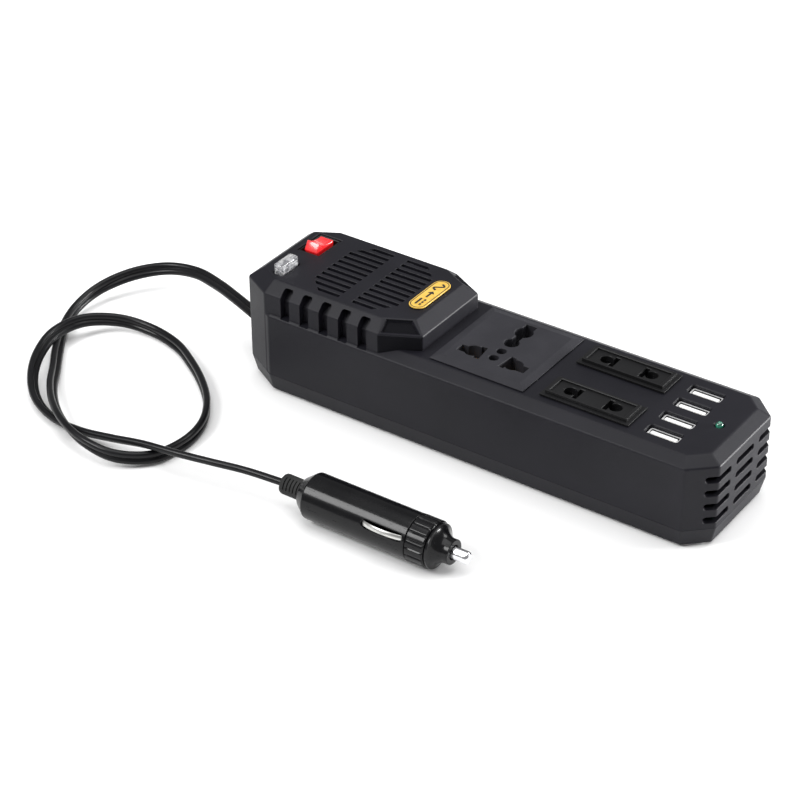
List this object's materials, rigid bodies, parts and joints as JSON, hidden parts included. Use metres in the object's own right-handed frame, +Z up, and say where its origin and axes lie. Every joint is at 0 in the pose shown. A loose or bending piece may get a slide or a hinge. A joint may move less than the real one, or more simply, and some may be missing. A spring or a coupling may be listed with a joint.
{
  "type": "power inverter",
  "caption": "Long black 12 V power inverter: raised fan hood with rocker switch, universal and two-pin sockets, USB ports, flat lead and vehicle plug.",
  "frame": {"origin": "middle of the case, on the surface that its rubber feet stand on", "axes": "+X along the case from the lead end to the vented end, -Y is the front, +Z up out of the sockets"},
  "size_m": [0.3195, 0.143, 0.0564],
  "materials": {
    "shell": "satin moulded ABS",
    "screw_steel": "zinc plated",
    "rubber": "matt",
    "socket_plastic": "fine grained",
    "brass": "bright pressed",
    "black_plastic": "satin",
    "port_steel": "bright nickel plated",
    "white_plastic": "gloss",
    "circuit_board": "solder mask",
    "green_lens": "moulded lens",
    "aluminium": "extruded",
    "ferrite": "sintered",
    "copper": "enamelled wire",
    "capacitor_sleeve": "shrink sleeve",
    "red_plastic": "gloss",
    "clear_plastic": "clear",
    "zinc": "bright",
    "yellow_badge": null,
    "lead_jacket": "semi-gloss PVC",
    "gloss_black": "high gloss",
    "glass_fuse": "glass tube with plated caps"
  },
  "bodies": {
    "housing": {"upper_shell": "shell", "bottom_cover": "shell", "cover_screw_1": "screw_steel", "cover_screw_2": "screw_steel", "cover_screw_3": "screw_steel", "cover_screw_4": "screw_steel", "rubber_foot_1": "rubber", "rubber_foot_2": "rubber", "rubber_foot_3": "rubber", "rubber_foot_4": "rubber", "universal_socket": "socket_plastic", "live_contact": "brass", "neutral_contact": "brass", "earth_contact": "brass", "front_outlet": "black_plastic", "front_outlet_contact_1": "brass", "front_outlet_contact_2": "brass", "rear_outlet": "black_plastic", "rear_outlet_contact_1": "brass", "rear_outlet_contact_2": "brass", "usb_shell_1": "port_steel", "usb_tongue_1": "white_plastic", "usb_shell_2": "port_steel", "usb_tongue_2": "white_plastic", "usb_shell_3": "port_steel", "usb_tongue_3": "white_plastic", "usb_shell_4": "port_steel", "usb_tongue_4": "white_plastic", "usb_board": "circuit_board", "status_led": "green_lens", "main_board": "circuit_board", "heat_sink": "aluminium", "transistor_1": "black_plastic", "transistor_2": "black_plastic", "transformer_core": "ferrite", "transformer_winding": "copper", "capacitor_1": "capacitor_sleeve", "capacitor_2": "capacitor_sleeve", "fan_frame": "black_plastic", "switch_housing": "black_plastic", "fuse_holder": "black_plastic", "badge": "yellow_badge", "lead_sleeve": "rubber", "lead": "lead_jacket", "plug_boot": "rubber", "plug_body": "gloss_black", "tip_spring": "port_steel"},
    "rocker": {"rocker": "red_plastic"},
    "fan_rotor": {"fan_rotor": "black_plastic"},
    "blade_fuse": {"blade_fuse_body": "clear_plastic", "blade_fuse_element": "zinc"},
    "plug_nose": {"plug_nose": "gloss_black"},
    "plug_ring": {"plug_ring": "gloss_black"},
    "plug_tip": {"plug_tip": "port_steel", "plug_fuse": "glass_fuse"},
    "side_contact_1": {"side_contact_1": "port_steel"},
    "side_contact_2": {"side_contact_2": "port_steel"}
  },
  "joints": [
    {"name": "rocker_tilt", "type": "hinge", "parent": "housing", "child": "rocker", "pos_m": [-0.0982, 0.0096, 0.0509], "axis": [1, 0, 0], "range_deg": [0, 32]},
    {"name": "fan_spin", "type": "hinge", "parent": "housing", "child": "fan_rotor", "pos_m": [-0.0631, 0, 0.044], "axis": [0, 0, 1], "continuous": true},
    {"name": "fuse_pull", "type": "slide", "parent": "housing", "child": "blade_fuse", "axis": [0, 0, 1], "range_m": [0, 0.016]},
    {"name": "nose_unscrew", "type": "slide", "parent": "housing", "child": "plug_nose", "axis": [1, 0, 0], "range_m": [0, 0.0044]},
    {"name": "ring_turn", "type": "hinge", "parent": "plug_nose", "child": "plug_ring", "pos_m": [0.023, -0.0917, 0.0103], "axis": [1, 0, 0], "range_deg": [0, 1060]},
    {"name": "tip_press", "type": "slide", "parent": "plug_nose", "child": "plug_tip", "axis": [-1, 0, 0], "range_m": [0, 0.0035], "stiffness_N_per_m": 800, "springref_m": -0.004, "deforming": ["tip_spring"]},
    {"name": "contact_press_1", "type": "slide", "parent": "housing", "child": "side_contact_1", "axis": [0, 0.9063, -0.4226], "range_m": [0, 0.0017], "stiffness_N_per_m": 600, "springref_m": -0.002},
    {"name": "contact_press_2", "type": "slide", "parent": "housing", "child": "side_contact_2", "axis": [0, -0.9063, 0.4226], "range_m": [0, 0.0017], "stiffness_N_per_m": 600, "springref_m": -0.002}
  ],
  "couplings": [
    {"joint": "ring_turn", "follows": "nose_unscrew", "rad_per_m": 4188.8}
  ]
}
